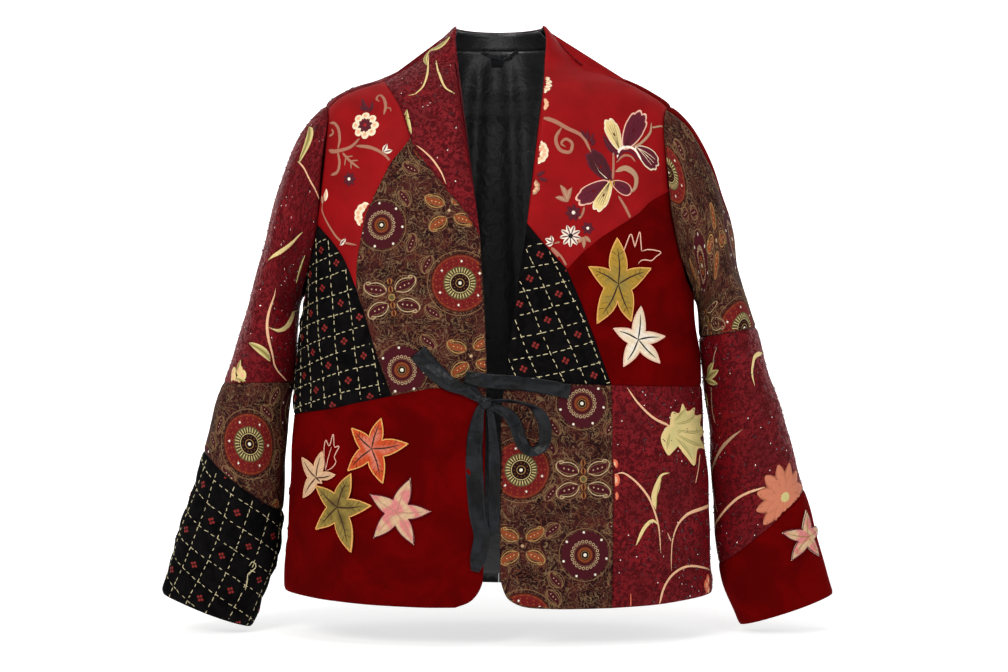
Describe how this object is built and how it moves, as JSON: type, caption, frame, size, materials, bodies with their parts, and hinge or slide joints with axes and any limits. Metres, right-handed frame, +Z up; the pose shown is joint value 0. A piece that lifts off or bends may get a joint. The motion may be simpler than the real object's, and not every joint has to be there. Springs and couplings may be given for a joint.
{
  "type": "kimono jacket",
  "caption": "Patchwork kimono jacket in velvet, sateen and paisley cloth, filled out as worn, with long sleeves, a standing neck edge and a ribbon tie at the front.",
  "frame": {"origin": "midway between the two points where neck and shoulder meet, which is where the wearer's shoulders carry the jacket", "axes": "+X to the right as seen from the front, the fronts face -Y, +Z up"},
  "size_m": [0.7705, 0.2688, 0.6889],
  "materials": {
    "sateen": "red cotton sateen with a soft sheen, embroidered",
    "red_velvet": "deep red pile velvet",
    "maroon_velvet": "maroon velvet, crushed in blotches",
    "paisley": "printed wool-type cloth with paisleys, matt",
    "black_velvet": "black velvet quilted in a grid",
    "satin": "black satin ribbon",
    "lining": "black smooth lining",
    "orange": "orange stitched star patch",
    "olive": "olive gold stitched star patch",
    "pink": "pale pink stitched star patch",
    "cream": "cream stitched star patch"
  },
  "bodies": {
    "root": {"left_front_neck": "maroon_velvet", "left_front_sateen": "sateen", "left_front_paisley": "paisley", "left_front_black": "black_velvet", "left_front_velvet": "red_velvet", "right_front_sateen": "sateen", "right_front_black": "black_velvet", "right_front_velvet": "red_velvet", "right_front_paisley": "paisley", "right_front_maroon": "maroon_velvet", "back_left_upper": "maroon_velvet", "back_right_upper": "red_velvet", "back_left_lower": "black_velvet", "back_right_lower": "paisley", "back_collar": "maroon_velvet", "collar_facing": "lining", "back_lining": "lining", "left_sleeve_maroon": "maroon_velvet", "left_sleeve_paisley": "paisley", "left_sleeve_black": "black_velvet", "right_sleeve_paisley": "paisley", "right_sleeve_back": "red_velvet", "right_sleeve_maroon": "maroon_velvet", "right_sleeve_velvet": "red_velvet", "star_orange": "orange", "star_olive": "olive", "star_pink": "pink", "star_pale": "cream", "star_gold": "olive", "star_cream": "cream", "star_cuff": "pink", "left_tie_band": "satin", "right_tie_band": "satin", "right_tie_turn": "satin", "bow_loop": "satin", "left_tie_tail": "satin", "right_tie_tail": "satin", "bow_knot": "satin", "neck_label": "satin", "hanger_loop": "satin"}
  },
  "joints": []
}
